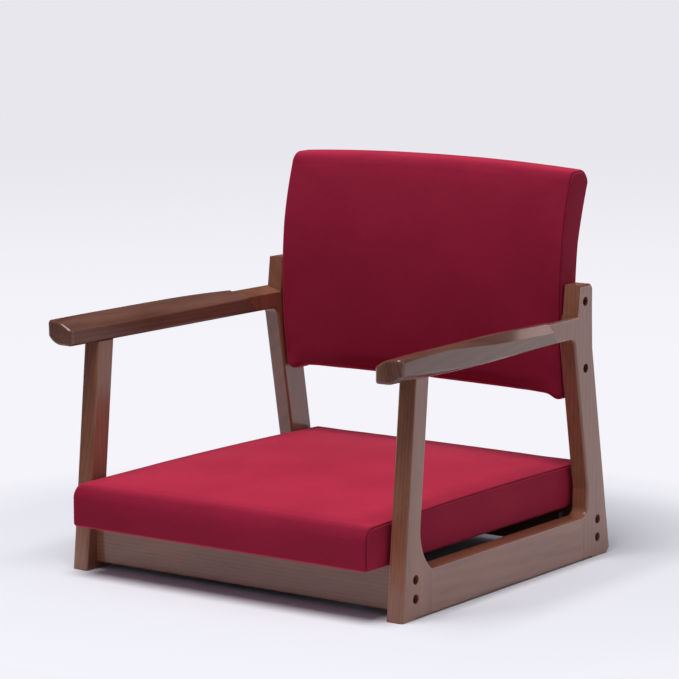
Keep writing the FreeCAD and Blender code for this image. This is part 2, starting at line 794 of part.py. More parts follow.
def underside_panel(margin, bottom, thickness):
    """A flat sheet under the seat, inside its outline by a margin."""
    front = margin - size("seat_overhang")
    rear = size(SEAT_REAR) - margin
    corners = []
    for y, side in ((front, -1), (front, 1), (rear, 1), (rear, -1)):
        half = size(inner_half(str(y))) - seat_gap - margin
        corners.append(Vector(side * half, y, bottom))
    return prism(corners, Vector(0, 0, thickness))


rail_top = size("rail_top")
board_bottom = rail_top + size("cover_thickness + soft_clearance")
board_top = board_bottom + size("seat_board_thickness")
hem_opening = underside_panel(hem, rail_top - 1, board_bottom - rail_top + 1)
cover_pieces("seat", seat_profile, seat_gap, SEAT_RIM, [hem_opening], seat_drillings)
seat_filling = whole_cushion(seat_profile, seat_gap, SEAT_RIM, size("cover_thickness + soft_clearance"))
wide = size("2 * front_width")
long = size("2 * frame_length")
below_board_top = Part.makeBox(wide, long, board_top, Vector(-wide / 2, -long / 4, 0))

# Seat board: plywood that carries the foam, with its edge under the cover.
seat_board = doc.addObject("Part::Feature", "seat_board_blank")
seat_board.Shape = seat_filling.common(below_board_top)
stand(seat_board)
insert_holes = []
for number, place in enumerate(seat_bolt_places("rail_top")):
    reach = "cover_thickness + soft_clearance + seat_insert_length"
    insert_holes.append(rod(f"seat_insert_hole_{number}", "insert_diameter", reach, place, UP))
seat_insert_holes = stand(group("seat_insert_holes", insert_holes))
node(cut("seat_board", seat_board, seat_insert_holes), "seat_board")

seat_foam = doc.addObject("Part::Feature", "seat_foam")
seat_foam.Shape = seat_filling.cut(below_board_top)
node(stand(seat_foam), "seat_foam")

# Dust cover: a thin cloth on the board's underside, inside the cover's hem.
dust_cover = doc.addObject("Part::Feature", "dust_cover_blank")
dust_cover.Shape = underside_panel(hem + size("soft_clearance"), rail_top, board_bottom - rail_top)
stand(dust_cover)
node(cut("seat_dust_cover", dust_cover, seat_insert_holes), "seat_dust_cover")


# Threaded inserts: sleeves that the seat's and the backrest's bolts screw into.
def insert(name, length):
    sleeve = rod(f"{name}_sleeve", "insert_diameter - 2 * dowel_clearance", length, ("0", "0", "0"), UP)
    thread = rod(f"{name}_thread", "bolt_diameter + 2 * dowel_clearance", length, ("0", "0", "0"), UP)
    return cut(name, sleeve, thread)


seat_insert = insert("seat_insert", "seat_insert_length")
places = seat_bolt_places("rail_top + cover_thickness + soft_clearance")
node(stand(group("seat_inserts", copies("seat_insert_at", seat_insert, places, UP))), "seat_inserts")


# Backrest: upright in its lower half and leaning back in its upper half, with a rolled top edge.
# Each row is a share of the height, the front face's distance ahead of the posts' rearmost line and
# the thickness there.
BACK_ROWS = (
    (0.0, 86.8, 43.0),
    (0.36, 97.8, 44.5),
    (0.68, 93.8, 46.5),
    (0.83, 84.8, 50.0),
    (0.95, 74.3, 52.0),
)
TOP_ROLL_SHARE = 0.4


def back_rows(low, high):
    """The backrest's front and rear faces between two heights."""
    rows = []
    for share, ahead, thickness in BACK_ROWS:
        front = size("frame_length") - ahead
        rows.append((low + (high - low) * share, front, front + thickness))
    return rows


def back_profile(share, inset, top_drop=0, bottom_drop=0):
    """The backrest from the side, fuller in the middle of its width."""
    middle = 1 - share ** 2
    droop = size("back_droop") * (1 - middle)
    low = size("back_bottom") - droop + inset - bottom_drop
    high = size("back_top") - droop - inset - top_drop
    swell = size("back_swell") * middle
    rows = []
    for height, front, rear in back_rows(low, high):
        rows.append(((front + inset - swell, height), (rear - inset + swell / 2, height)))
    (f0, r0), (f1, r1), (f2, r2), (f3, r3), (f4, r4) = rows
    ease = eased("back_ease", inset)
    roll = (r4[0] - f4[0]) * TOP_ROLL_SHARE
    foot_front = (f0[0], low + ease)
    foot_rear = (r0[0], low + ease)
    top_front = (f4[0] + roll, high)
    top_rear = (r4[0] - roll, high)
    return [
        ("line", (r0[0] - ease, low), (f0[0] + ease, low)),
        corner((f0[0] + ease, low), foot_front),
        ("arc", foot_front, f1, f2),
        ("arc", f2, f3, f4),
        corner(f4, top_front),
        ("line", top_front, top_rear),
        corner(top_rear, r4),
        ("arc", r4, r3, r2),
        ("arc", r2, r1, foot_rear),
        corner(foot_rear, (r0[0] - ease, low)),
    ]


back_gap = size("back_gap")
cover_pieces("backrest", back_profile, back_gap, BACK_RIM, [], drillings)
back_filling = whole_cushion(back_profile, back_gap, BACK_RIM, size("cover_thickness + soft_clearance"))


def back_board_blank():
    """The backrest's curved board, as a straight block across the chair."""
    half = size("back_board_thickness") / 2
    side = -size("front_width")
    rows = back_rows(size("back_bottom + back_board_low_margin"), size("back_top - back_board_high_margin"))
    front = [Vector(side, (f + r) / 2 - half, height) for height, f, r in rows]
    rear = [Vector(side, (f + r) / 2 + half, height) for height, f, r in rows]
    return Part.Face(Part.Wire([
        Part.Arc(*front[:3]).toShape(),
        Part.Arc(*front[2:]).toShape(),
        Part.LineSegment(front[-1], rear[-1]).toShape(),
        Part.Arc(*rear[:1:-1]).toShape(),
        Part.Arc(*rear[2::-1]).toShape(),
        Part.LineSegment(rear[0], front[0]).toShape(),
    ])).extrude(Vector(-2 * side, 0, 0))


# Backrest board: bent plywood from side to side, drilled in its ends for the inserts.
board_block = back_board_blank()
back_board = doc.addObject("Part::Feature", "back_board_blank")
back_board.Shape = back_filling.common(board_block)
stand(back_board)
BOARD_END = "-side_thickness - back_gap - cover_thickness - soft_clearance"
back_holes = []
for number, (run, height) in enumerate(BACK_BOLTS):
    start = (f"{BOARD_END} + 1", run, height)
    back_holes.append(rod(f"back_hole_{number}", "insert_diameter", "back_insert_length + 2", start, INWARD))
right_back_holes = stand_at_side(group("right_back_holes", back_holes))
left_back_holes = mirrored(right_back_holes, "left_back_holes")
back_insert_holes = group("back_insert_holes", [right_back_holes, left_back_holes])
drilled_board = cut("back_board_drilled", back_board, drillings)
node(cut("backrest_board", drilled_board, back_insert_holes), "backrest_board")

back_foam = doc.addObject("Part::Feature", "back_foam_blank")
back_foam.Shape = back_filling.cut(board_block)
stand(back_foam)
node(cut("backrest_foam", back_foam, back_insert_holes), "backrest_foam")

back_insert = insert("back_insert", "back_insert_length")
places = [(BOARD_END, run, height) for run, height in BACK_BOLTS]
both_side_group("backrest_inserts", copies("back_insert_at", back_insert, places, INWARD))

# Spacers: washers that hold the backrest just clear of the posts.
spacer_disc = rod("spacer_disc", "spacer_diameter", "back_gap", ("0", "0", "0"), UP)
spacer_hole = rod("spacer_hole", "bolt_diameter + bolt_clearance", "back_gap", ("0", "0", "0"), UP)
spacer = cut("spacer", spacer_disc, spacer_hole)
places = [("-side_thickness", run, height) for run, height in BACK_BOLTS]
both_side_group("backrest_spacers", copies("spacer_at", spacer, places, INWARD))

doc.recompute()
for thing in doc.Objects:
    for word in ("Invalid", "Error"):
        if word in thing.State:
            raise RuntimeError(f"{thing.Name} could not be made: {thing.State}")
for piece in nodes:
    if piece.Shape.isNull() or not piece.Shape.isValid():
        raise RuntimeError(f"{piece.Label} has no valid shape")

os.makedirs("parts", exist_ok=True)
for piece in nodes:
    piece.Shape.exportStep(f"parts/{piece.Label}.step")
    box = piece.Shape.BoundBox
    print(f"{piece.Label}: {len(piece.Shape.Solids)} solid(s), x {box.XMin:.1f}..{box.XMax:.1f}, "
          f"y {box.YMin:.1f}..{box.YMax:.1f}, z {box.ZMin:.1f}..{box.ZMax:.1f}")
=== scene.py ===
"""Looks of the floor chair: stained wooden side frames and rails, crimson seat and backrest upholstery.

Metres, in the part's own frame: +X to the right as seen from the front, +Y to the back, +Z up,
the origin on the floor under the middle of the chair.
"""

import math

import bpy
import bmesh
import numpy as np
from mathutils import Matrix, Vector, kdtree


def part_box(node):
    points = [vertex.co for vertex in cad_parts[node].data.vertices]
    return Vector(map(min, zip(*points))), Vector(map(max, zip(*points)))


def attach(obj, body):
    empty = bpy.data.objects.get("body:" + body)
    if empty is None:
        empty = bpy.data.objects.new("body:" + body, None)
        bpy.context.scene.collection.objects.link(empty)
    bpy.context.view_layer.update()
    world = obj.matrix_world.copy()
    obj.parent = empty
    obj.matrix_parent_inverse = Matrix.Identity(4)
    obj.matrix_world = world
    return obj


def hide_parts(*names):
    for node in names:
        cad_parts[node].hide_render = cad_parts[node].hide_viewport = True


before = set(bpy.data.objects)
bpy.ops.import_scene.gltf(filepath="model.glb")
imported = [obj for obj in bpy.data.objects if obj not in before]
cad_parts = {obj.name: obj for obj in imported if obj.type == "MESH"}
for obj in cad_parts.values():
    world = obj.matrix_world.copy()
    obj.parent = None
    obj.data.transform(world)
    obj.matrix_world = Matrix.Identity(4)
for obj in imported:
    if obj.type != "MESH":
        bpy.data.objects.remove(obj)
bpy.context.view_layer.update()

# ---- Side frames -------------------------------------------------------------------------------
# Legs, floor rails, rear posts and armrests are solid rubberwood, sawn and sanded, stained walnut
# brown and sprayed with satin lacquer. Dowels and glue hold them together.
WALNUT_STAIN = ("#75452F", "#89563F", "#98644B")       # legs, posts and rails: deep, middle, light
ARMREST_WALNUT_WITH_PAINTED_SHADE = ("#5E392D", "#714A3D", "#805748")  # the armrests' wood is drawn darker than the legs': painted shade, for flanks that face a little downward and get less light
STAIN_AT = (0.22, 0.5, 0.8)                 # where along the wood's figure each of the three shows
RING_WIDTH = 0.0055                         # growth rings, about 5 mm apart in fast-grown wood
RING_STRETCH = 0.07                         # how little the rings change along the grain
RING_SHARE = 0.14                           # of the figure, the rest being soft clouds
PITH = (0.31, 0.17, -0.23)                  # where the rings are centred, outside every piece
CLOUDS_ALONG, CLOUDS_ACROSS = 6.0, 38.0     # soft changes of tone in a metre
CLOUD_RANGE = (0.2, 0.8)
PORE_WIDTH = 0.0009                         # real pores are 0.3 mm wide, drawn coarser so that they show
PORE_LENGTH = 0.022
PORE_EDGE = (0.56, 0.68)                    # a pore sinks in between these values of its noise
PORE_STAIN = "#5C4438"
PORE_SHADE = 0.18
STAINED_ROUGHNESS = (0.38, 0.52)
LACQUER_IOR = 1.5
FRAME_LACQUER = {"coat_roughness": 0.14, "undergloss": 0.22}
ARMREST_LACQUER = {"coat_roughness": 0.19, "undergloss": 0.02}
WAVELENGTH = 2 * math.pi / 20               # of a wave texture at scale 1


def linear(hex_colour):
    """A written sRGB colour as the linear colour that a shader takes."""
    channels = [int(hex_colour[i:i + 2], 16) / 255 for i in (1, 3, 5)]
    return [c / 12.92 if c <= 0.04045 else ((c + 0.055) / 1.055) ** 2.4 for c in channels] + [1.0]


def feed(tree, node, inputs):
    """Set a node's inputs, by name or place: each follows another node's output or holds a value."""
    for key, value in inputs.items():
        if isinstance(value, bpy.types.NodeSocket):
            tree.links.new(value, node.inputs[key])
        else:
            node.inputs[key].default_value = value


def add(tree, kind, inputs=None, **settings):
    """Add a node with its settings and its inputs."""
    node = tree.nodes.new(kind)
    for key, value in settings.items():
        setattr(node, key, value)
    feed(tree, node, inputs or {})
    return node


def object_place(tree):
    """Where on its piece a point lies, in metres."""
    return add(tree, "ShaderNodeTexCoord").outputs["Object"]


def stretched(tree, place, scale, offset=(0, 0, 0)):
    """A place scaled along each axis, then moved."""
    mapping = add(tree, "ShaderNodeMapping", {"Vector": place, "Scale": scale, "Location": offset})
    return mapping.outputs["Vector"]


def noise(tree, place, scale, detail, distortion=0.0):
    """Uneven values around 0.5."""
    texture = {"Vector": place, "Scale": scale, "Detail": detail, "Distortion": distortion}
    return add(tree, "ShaderNodeTexNoise", texture).outputs["Fac"]


def remap(tree, value, given, wanted, **settings):
    """A value carried over from one range to another, and held at its ends."""
    ranges = {"From Min": given[0], "From Max": given[1], "To Min": wanted[0], "To Max": wanted[1]}
    return add(tree, "ShaderNodeMapRange", {"Value": value, **ranges}, **settings).outputs["Result"]


def times(tree, first, second):
    return add(tree, "ShaderNodeMath", {0: first, 1: second}, operation="MULTIPLY").outputs[0]


def mix(tree, factor, first, second, kind="FLOAT", blend="MIX"):
    """From a first value or colour towards a second, as far as the factor says."""
    inputs = {"Factor": factor, "A": first, "B": second}
    return add(tree, "ShaderNodeMix", inputs, data_type=kind, blend_type=blend).outputs["Result"]


def ramp(tree, value, stops):
    """Colours along a value, each stop a place and a written colour."""
    made = add(tree, "ShaderNodeValToRGB", {"Fac": value})
    band = made.color_ramp
    while len(band.elements) < len(stops):
        band.elements.new(0.5)
    for element, (place, colour) in zip(band.elements, stops):
        element.position = place
        element.color = linear(colour)
    return made.outputs["Color"]


def bump(tree, height, strength, distance, invert=False):
    inputs = {"Height": height, "Strength": strength, "Distance": distance}
    return add(tree, "ShaderNodeBump", inputs, invert=invert).outputs["Normal"]


def finish(name):
    """A new material, with its tree and its surface shader."""
    material = bpy.data.materials.new(name)
    material.use_nodes = True
    tree = material.node_tree
    tree.nodes.clear()
    surface = add(tree, "ShaderNodeBsdfPrincipled")
    add(tree, "ShaderNodeOutputMaterial", {"Surface": surface.outputs["BSDF"]})
    return material, tree, surface


def stained_rubberwood(name, grain, stain, coat_roughness, undergloss):
    """Walnut-stained rubberwood under satin lacquer: soft growth rings and short dark pores along
    the grain, with a clear gloss that keeps a little of the grain's unevenness."""
    material, tree, surface = finish(name)
    place = object_place(tree)

    def per_axis(along, across):
        return [along if axis == grain else across for axis in "XYZ"]

    rings = add(
        tree, "ShaderNodeTexWave",
        {
            "Vector": stretched(tree, place, per_axis(RING_STRETCH, 1.0), PITH),
            "Scale": WAVELENGTH / RING_WIDTH,
            "Distortion": 9.0,
            "Detail": 3.0,
            "Detail Scale": 0.12,
            "Detail Roughness": 0.6,
        },
        wave_type="RINGS", rings_direction=grain, wave_profile="SIN",
    ).outputs["Fac"]
    pores_at = stretched(tree, place, per_axis(1 / PORE_LENGTH, 1 / PORE_WIDTH))
    pore_depth = remap(tree, noise(tree, pores_at, scale=0.5, detail=2.0), PORE_EDGE, (0.0, 1.0))
    clouds_at = stretched(tree, place, per_axis(CLOUDS_ALONG, CLOUDS_ACROSS))
    clouds = noise(tree, clouds_at, scale=1.0, detail=3.0)
    wood = ramp(tree, mix(tree, RING_SHARE, clouds, rings), list(zip(STAIN_AT, stain)))
    pore_shade = times(tree, pore_depth, PORE_SHADE)
    feed(tree, surface, {
        "Base Color": mix(tree, pore_shade, wood, linear(PORE_STAIN), "RGBA", "MULTIPLY"),
        "Roughness": remap(tree, clouds, CLOUD_RANGE, STAINED_ROUGHNESS),
        "Normal": bump(tree, pore_depth, strength=0.25, distance=0.0001, invert=True),
        "IOR": LACQUER_IOR,
        "Specular IOR Level": undergloss,
        "Coat Weight": 1.0,
        "Coat Roughness": coat_roughness,
        "Coat IOR": LACQUER_IOR,
    })
    return material


def dress(node, material):
    """Give a carried-over piece its material."""
    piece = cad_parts[node]
    piece.data.materials.clear()
    piece.data.materials.append(material)


upright_wood = stained_rubberwood("stained_rubberwood_upright", "Z", WALNUT_STAIN, **FRAME_LACQUER)
lengthwise_wood = stained_rubberwood("stained_rubberwood_lengthwise", "Y", WALNUT_STAIN, **FRAME_LACQUER)
# The armrests take a darker copy of the wood: painted shade.
armrest_wood = stained_rubberwood("stained_rubberwood_armrest", "Y", ARMREST_WALNUT_WITH_PAINTED_SHADE, **ARMREST_LACQUER)
for side in ("right", "left"):
    dress(f"{side}_front_leg", upright_wood)
    dress(f"{side}_rear_post", upright_wood)
    dress(f"{side}_floor_rail", lengthwise_wood)
    dress(f"{side}_armrest", armrest_wood)


# ---- Dowels ------------------------------------------------------------------------------------
# Plain beech pins, turned and left bare: pale and matt, with short brown flecks along the pin. They
# are glued into legs, floor rails, posts and armrests, hidden once the side frames are together.
BEECH_TONES = [(0.3, "#B98F63"), (0.62, "#D0A878")]
BEECH_FLECKS = (1400, 160, 1400)     # in a metre, long along the pins that lie from front to back


def speckled(name, tones, values, scale, detail, stretch=None, distortion=0.0, relief=None):
    """A material of one fine speckle between two tones. Relief is the strength and the depth with
    which the speckle stands out."""
    material, tree, surface = finish(name)
    place = object_place(tree)
    if stretch:
        place = stretched(tree, place, stretch)
    specks = noise(tree, place, scale, detail, distortion)
    feed(tree, surface, {"Base Color": ramp(tree, specks, tones), **values})
    if relief:
        feed(tree, surface, {"Normal": bump(tree, specks, *relief)})
    return material


beech = speckled("turned_beech", BEECH_TONES, {"Roughness": 0.7}, 1.0, 2.0, stretch=BEECH_FLECKS)
dress("floor_rail_dowels", beech)
dress("armrest_dowels", beech)


# ---- Cross rails -------------------------------------------------------------------------------
# Two flat boards on edge, of the same stained wood, between the side frames. Their ends are drilled
# for the frame bolts and cross-drilled for the barrel nuts.
crosswise_wood = stained_rubberwood("stained_rubberwood_crosswise", "X", WALNUT_STAIN, **FRAME_LACQUER)
dress("front_rail", crosswise_wood)
dress("rear_rail", crosswise_wood)


# ---- Bolts and nuts ----------------------------------------------------------------------------
# Socket-head screws with a dull browned finish sit deep in their counterbores. Barrel nuts, seat
# screws and threaded inserts are zinc-plated steel. Both have a fine turned unevenness.
BROWNED_TONES = [(0.35, "#5A4233"), (0.7, "#7A5B46")]
ZINC_TONES = [(0.35, "#A9AAA6"), (0.7, "#C4C5C0")]


def turned_steel(name, tones, roughness):
    values = {"Metallic": 1.0, "Roughness": roughness}
    return speckled(name, tones, values, scale=900.0, detail=3.0, relief=(0.15, 0.00005))


browned = turned_steel("browned_steel", BROWNED_TONES, 0.5)
zinc_plate = turned_steel("zinc_plated_steel", ZINC_TONES, 0.32)
dress("frame_bolts", browned)
dress("backrest_bolts", browned)
for hardware in ("barrel_nuts", "seat_bolts", "seat_inserts", "backrest_inserts"):
    dress(hardware, zinc_plate)


# ---- Boards inside the upholstery --------------------------------------------------------------
# The seat's flat board and the backrest's bent board are sanded plywood with thin veneers across
# each other. Both are hidden in the upholstery.
PLY_THICKNESS = 0.0014
PLY_TONES = [(0.35, "#A87F52"), (0.6, "#CDA876")]


def sanded_plywood(name, across_plies):
    """Plywood: alternating light and darker veneers in its edges."""
    material, tree, surface = finish(name)
    plies = add(
        tree, "ShaderNodeTexWave",
        {
            "Vector": object_place(tree),
            "Scale": WAVELENGTH / (2 * PLY_THICKNESS),
            "Distortion": 0.6,
            "Detail": 2.0,
        },
        wave_type="BANDS", bands_direction=across_plies,
    ).outputs["Fac"]
    feed(tree, surface, {"Base Color": ramp(tree, plies, PLY_TONES), "Roughness": 0.75})
    return material


dress("seat_board", sanded_plywood("seat_plywood", "Z"))
dress("backrest_board", sanded_plywood("backrest_plywood", "Y"))

# ---- Seat upholstery ---------------------------------------------------------------------------
# A foam pad on the seat board, under a cover of woven crimson fabric sewn from one long panel and
# two side panels. The long panel rolls over the front edge; the cover's hem is stapled underneath.
FRONT_LINE = -0.24715        # the front feet's line
FRAME_LENGTH = 0.5313
FRONT_HALF = 0.279
WOOD_THICKNESS = 0.026
TOE_IN = math.radians(1.22)

SEAT_OVERHANG = 0.037
SEAT_REAR = FRAME_LENGTH - 0.0163
SEAT_SIDE_GAP = 0.006
SEAT_BOTTOM = 0.070
SEAT_TOP = 0.1285
SEAT_REAR_RISE = 0.002
SEAT_CROWN = 0.011
SEAT_EDGE_CROWN = 0.003
SEAT_ROLL = 0.019
SEAT_EASE = 0.006
SEAT_HEM = 0.042
SEAT_SPINE_RISE = 0.004      # of the side panels' middle line over half the seat's height
SEAT_RIM = {"rim_setback": 0.0065, "rim_inset": 0.0045, "side_bulge": 0.001, "seam_shade": 0.6}
HEM_STEP = 0.0016            # the dust cover's bed lies this much above the hem
UNDERSIDE_DEPTH = 0.001      # skin no higher than this over the hem is underside
SEAM_DEPTH = 0.0017
ARC_SHARE = 0.2071           # rise of a quarter round over its chord

# Stations across a pad, as shares of its half width, closer together towards the sides.
STATIONS = [math.sin(math.radians(angle)) for angle in np.linspace(-90, 90, 61)]

# Rings from a pad's long panel round the rim to the middle of its side panel: how many degrees the
# skin has turned, how much of the seam's depth pulls it in, and its size in the side panel.
SEAM_TURN = 58
SIDE_RINGS = (
    (14, 0, 1), (26, 0, 1), (36, 0.04, 1), (44, 0.16, 1), (51, 0.5, 1), (55, 0.85, 1), (SEAM_TURN, 1, 1),
    (61, 0.85, 1), (65, 0.5, 1), (72, 0.16, 1), (80, 0.04, 1), (90, 0, 1),
    (90, 0, 0.985), (90, 0, 0.95), (90, 0, 0.88), (90, 0, 0.78), (90, 0, 0.65), (90, 0, 0.5),
)


def inner_half(run):
    """Half the width between the side frames, at a distance behind the front feet."""
    return FRONT_HALF - WOOD_THICKNESS / math.cos(TOE_IN) - run * math.tan(TOE_IN)


def sample(start, end, points, rise=0):
    """Points from one place up to the next, on a line or on an arc that rises to the left of it."""
    start, end = np.array(start), np.array(end)
    steps = np.linspace(0, 1, points, endpoint=False)[:, None]
    chord = end - start
    if rise == 0:
        return list(start + chord * steps)
    length = np.hypot(*chord)
    ahead = chord / length
    left = np.array((-ahead[1], ahead[0]))
    radius = (length ** 2 / 4 + rise ** 2) / (2 * rise)
    centre = (start + end) / 2 + left * (rise - radius)
    turns = (1 - 2 * steps) * math.asin(min(1.0, length / 2 / radius))
    return list(centre + left * radius * np.cos(turns) - ahead * radius * np.sin(turns))


def quarter(start, end, points):
    """Points on a quarter round."""
    chord = math.hypot(end[0] - start[0], end[1] - start[1])
    return sample(start, end, points, chord * ARC_SHARE)


def seat_outline(share, inset):
    """The seat from the side, from the rear underside forward, up and back."""
    front = inset - SEAT_OVERHANG
    rear = SEAT_REAR - inset
    bottom = SEAT_BOTTOM + inset
    top = SEAT_TOP - inset
    rear_top = top + SEAT_REAR_RISE
    ease = SEAT_EASE - min(inset, SEAT_EASE / 2)
    roll = SEAT_ROLL - inset
    crown = SEAT_CROWN * (1 - share ** 2) + SEAT_EDGE_CROWN
    rear_hem = SEAT_REAR - SEAT_HEM
    front_hem = SEAT_HEM - SEAT_OVERHANG
    return (
        sample((rear - ease, bottom), (rear_hem, bottom), points=6)
        + sample((rear_hem, bottom), (front_hem, bottom), points=70)
        + sample((front_hem, bottom), (front + ease, bottom), points=6)
        + quarter((front + ease, bottom), (front, bottom + ease), points=7)
        + sample((front, bottom + ease), (front, top - roll), points=8)
        + quarter((front, top - roll), (front + roll, top), points=14)
        + sample((front + roll, top), (rear - ease, rear_top), points=80, rise=crown)
        + quarter((rear - ease, rear_top), (rear, rear_top - ease), points=7)
        + sample((rear, rear_top - ease), (rear, bottom + ease), points=9)
        + quarter((rear, bottom + ease), (rear - ease, bottom), points=7)
    )


def seat_spine(y, z):
    """The place on the middle line of the seat's side panel that a point of its edge shrinks to."""
    reach = (SEAT_TOP - SEAT_BOTTOM) / 2
    along = min(max(y, reach - SEAT_OVERHANG), SEAT_REAR - reach)
    return along, (SEAT_TOP + SEAT_BOTTOM) / 2 + SEAT_SPINE_RISE


def put_in_scene(name, data):
    """An object of its own in the scene."""
    made = bpy.data.objects.new(name, data)
    bpy.context.scene.collection.objects.link(made)
    return made


def object_from(name, shape):
    """A finished bmesh as an object in the scene."""
    mesh = bpy.data.meshes.new(name)
    shape.to_mesh(mesh)
    shape.free()
    return put_in_scene(name, mesh)


def pad_rings(plan, outline, spine, side_gap, rim_setback, rim_inset, side_bulge):
    """The places of a cushion skin, ring by ring from the left side panel across to the right."""
    rings = []
    for share, turn, pull, size in plan:
        sideways, outward = math.sin(math.radians(turn)), math.cos(math.radians(turn))
        setback = rim_setback * (1 - sideways) + SEAM_DEPTH * pull * sideways
        inset = rim_inset * (1 - outward) + SEAM_DEPTH * pull * outward
        ring = []
        for y, z in outline(share, inset):
            core_y, core_z = spine(y, z)
            y, z = core_y + (y - core_y) * size, core_z + (z - core_z) * size
            half = inner_half(y) - side_gap - setback + side_bulge * (1 - size ** 2)
            ring.append(Vector((half * share, y + FRONT_LINE, z)))
        rings.append(ring)
    return rings


def pad_surface(name, outline, spine, side_gap, rim_setback, rim_inset, side_bulge, seam_shade):
    """A closed cushion skin, and for each side the points at the bottom of its seam.

    The face maps hold real distances in metres, so that the weave follows the fabric.
    """
    plan = [(-1, *ring) for ring in reversed(SIDE_RINGS)]
    plan += [(share, 0, 0, 1) for share in STATIONS]
    plan += [(1, *ring) for ring in SIDE_RINGS]
    rings = pad_rings(plan, outline, spine, side_gap, rim_setback, rim_inset, side_bulge)
    count = len(rings[0])
    middle = rings[len(rings) // 2]
    along = [0.0]
    for near, far in zip(middle, middle[1:] + middle[:1]):
        along.append(along[-1] + (far - near).length)

    skin = bmesh.new()
    cloth_map = skin.loops.layers.uv.new("cloth")
    grid = [[skin.verts.new(point) for point in ring] for ring in rings]
    for r in range(len(rings) - 1):
        on_side = min(plan[r][1], plan[r + 1][1]) >= SEAM_TURN
        for i in range(count):
            j = (i + 1) % count
            face = skin.faces.new((grid[r][i], grid[r][j], grid[r + 1][j], grid[r + 1][i]))
            for loop, step in zip(face.loops, (i, i + 1, i + 1, i)):
                at = loop.vert.co
                loop[cloth_map].uv = (at.y, at.z) if on_side else (at.x, along[step])
    for ring in (grid[0], grid[-1]):
        cap = skin.faces.new(ring)
        for loop in cap.loops:
            loop[cloth_map].uv = (loop.vert.co.y, loop.vert.co.z)
        cap.normal_update()
        bmesh.ops.triangulate(skin, faces=[cap])
    bmesh.ops.recalc_face_normals(skin, faces=skin.faces[:])
    piece = object_from(name, skin)
    for polygon in piece.data.polygons:
        polygon.use_smooth = True

    # Painted seam shade for the fabric's colour: how far each point darkens, from the seam's pull.
    crease = piece.data.attributes.new("crease", "FLOAT", "POINT")
    for r, (_, _, pull, _) in enumerate(plan):
        for i in range(count):
            crease.data[r * count + i].value = pull * seam_shade
    seam_rows = [r for r, (_, turn, _, _) in enumerate(plan) if turn == SEAM_TURN]
    return piece, [[row * count + i for i in range(count)] for row in seam_rows]


seat_pad, seat_seams = pad_surface("seat_upholstery", seat_outline, seat_spine, SEAT_SIDE_GAP, **SEAT_RIM)

# How the fabric settles over the foam: a light, fairly stiff cloth under a slight pressure.
VOXEL_SIZE = 0.006
SETTLING_STEPS = 20
SETTLING_CLOTH = {
    "quality": 5, "mass": 0.3, "tension_stiffness": 40, "compression_stiffness": 40,
    "bending_stiffness": 2, "use_pressure": True, "uniform_pressure_force": 4,
}
NEAR_POINTS = 8              # each place follows this many points of the coarser skin
NEAR_REACH = 0.002
SEAT_SWELL_LIMIT = 0.0022
HOLD_REACH = 0.006           # fabric this close to a seam or the underside is held
ROLL_DEPTH = 0.012           # the top and the front reach this far round their edges
SEAM_SETBACK = 0.001


def shaped_mesh(piece):
    """A plain mesh of a piece as its modifiers shape it."""
    evaluated = piece.evaluated_get(bpy.context.evaluated_depsgraph_get())
    return bpy.data.meshes.new_from_object(evaluated)


def swell(piece, held, limit):
    """Let the fabric settle: a coarser copy of the skin is inflated as cloth, held at its seams and
    underneath, and the skin takes over how far each place moved."""
    voxels = piece.modifiers.new("voxels", "REMESH")
    voxels.mode = "VOXEL"
    voxels.voxel_size = VOXEL_SIZE
    coarse = put_in_scene(f"{piece.name}_settling", shaped_mesh(piece))
    piece.modifiers.remove(voxels)
    rest = [vertex.co.copy() for vertex in coarse.data.vertices]
    pins = coarse.vertex_groups.new(name="held")
    for index, at in enumerate(rest):
        pins.add([index], held(at), "REPLACE")
    cloth = coarse.modifiers.new("cloth", "CLOTH")
    for key, value in SETTLING_CLOTH.items():
        setattr(cloth.settings, key, value)
    cloth.settings.vertex_group_mass = pins.name
    cloth.settings.effector_weights.gravity = 0
    cloth.collision_settings.use_collision = False
    cloth.point_cache.frame_start = 1
    cloth.point_cache.frame_end = SETTLING_STEPS
    for number in range(1, SETTLING_STEPS + 1):
        bpy.context.scene.frame_set(number)
    settled = coarse.evaluated_get(bpy.context.evaluated_depsgraph_get()).data
    moves = [settled.vertices[index].co - at for index, at in enumerate(rest)]
    tree = kdtree.KDTree(len(rest))
    for index, at in enumerate(rest):
        tree.insert(at, index)
    tree.balance()
    for vertex in piece.data.vertices:
        total = 0.0
        move = Vector()
        for _, index, distance in tree.find_n(vertex.co, NEAR_POINTS):
            weight = 1 / (distance + NEAR_REACH) ** 2
            total += weight
            move += moves[index] * weight
        move /= total
        if move.length > limit:
            move *= limit / move.length
        vertex.co += move
    bpy.context.scene.frame_set(1)
    bpy.data.objects.remove(coarse)


def seat_held(at):
    """How firmly the seat's fabric is held: underneath, where it is stapled, and at the seams."""
    if at.z < SEAT_BOTTOM + HOLD_REACH:
        return 1.0
    seam = inner_half(at.y - FRONT_LINE) - SEAT_SIDE_GAP - SEAM_SETBACK
    by_seam = abs(abs(at.x) - seam) < HOLD_REACH
    on_top = at.z > SEAT_TOP - ROLL_DEPTH
    in_front = at.y < FRONT_LINE - SEAT_OVERHANG + ROLL_DEPTH
    return 0.9 if by_seam and (on_top or in_front) else 0.0


swell(seat_pad, seat_held, SEAT_SWELL_LIMIT)

# Underneath, the board's middle lies a little above the hem, where the dust cover is stapled on.
for vertex in seat_pad.data.vertices:
    run = vertex.co.y - FRONT_LINE
    within = (
        vertex.co.z < SEAT_BOTTOM + UNDERSIDE_DEPTH
        and SEAT_HEM - SEAT_OVERHANG < run < SEAT_REAR - SEAT_HEM
        and abs(vertex.co.x) < inner_half(run) - SEAT_SIDE_GAP - SEAT_HEM
    )
    if within:
        vertex.co.z = SEAT_BOTTOM + HEM_STEP

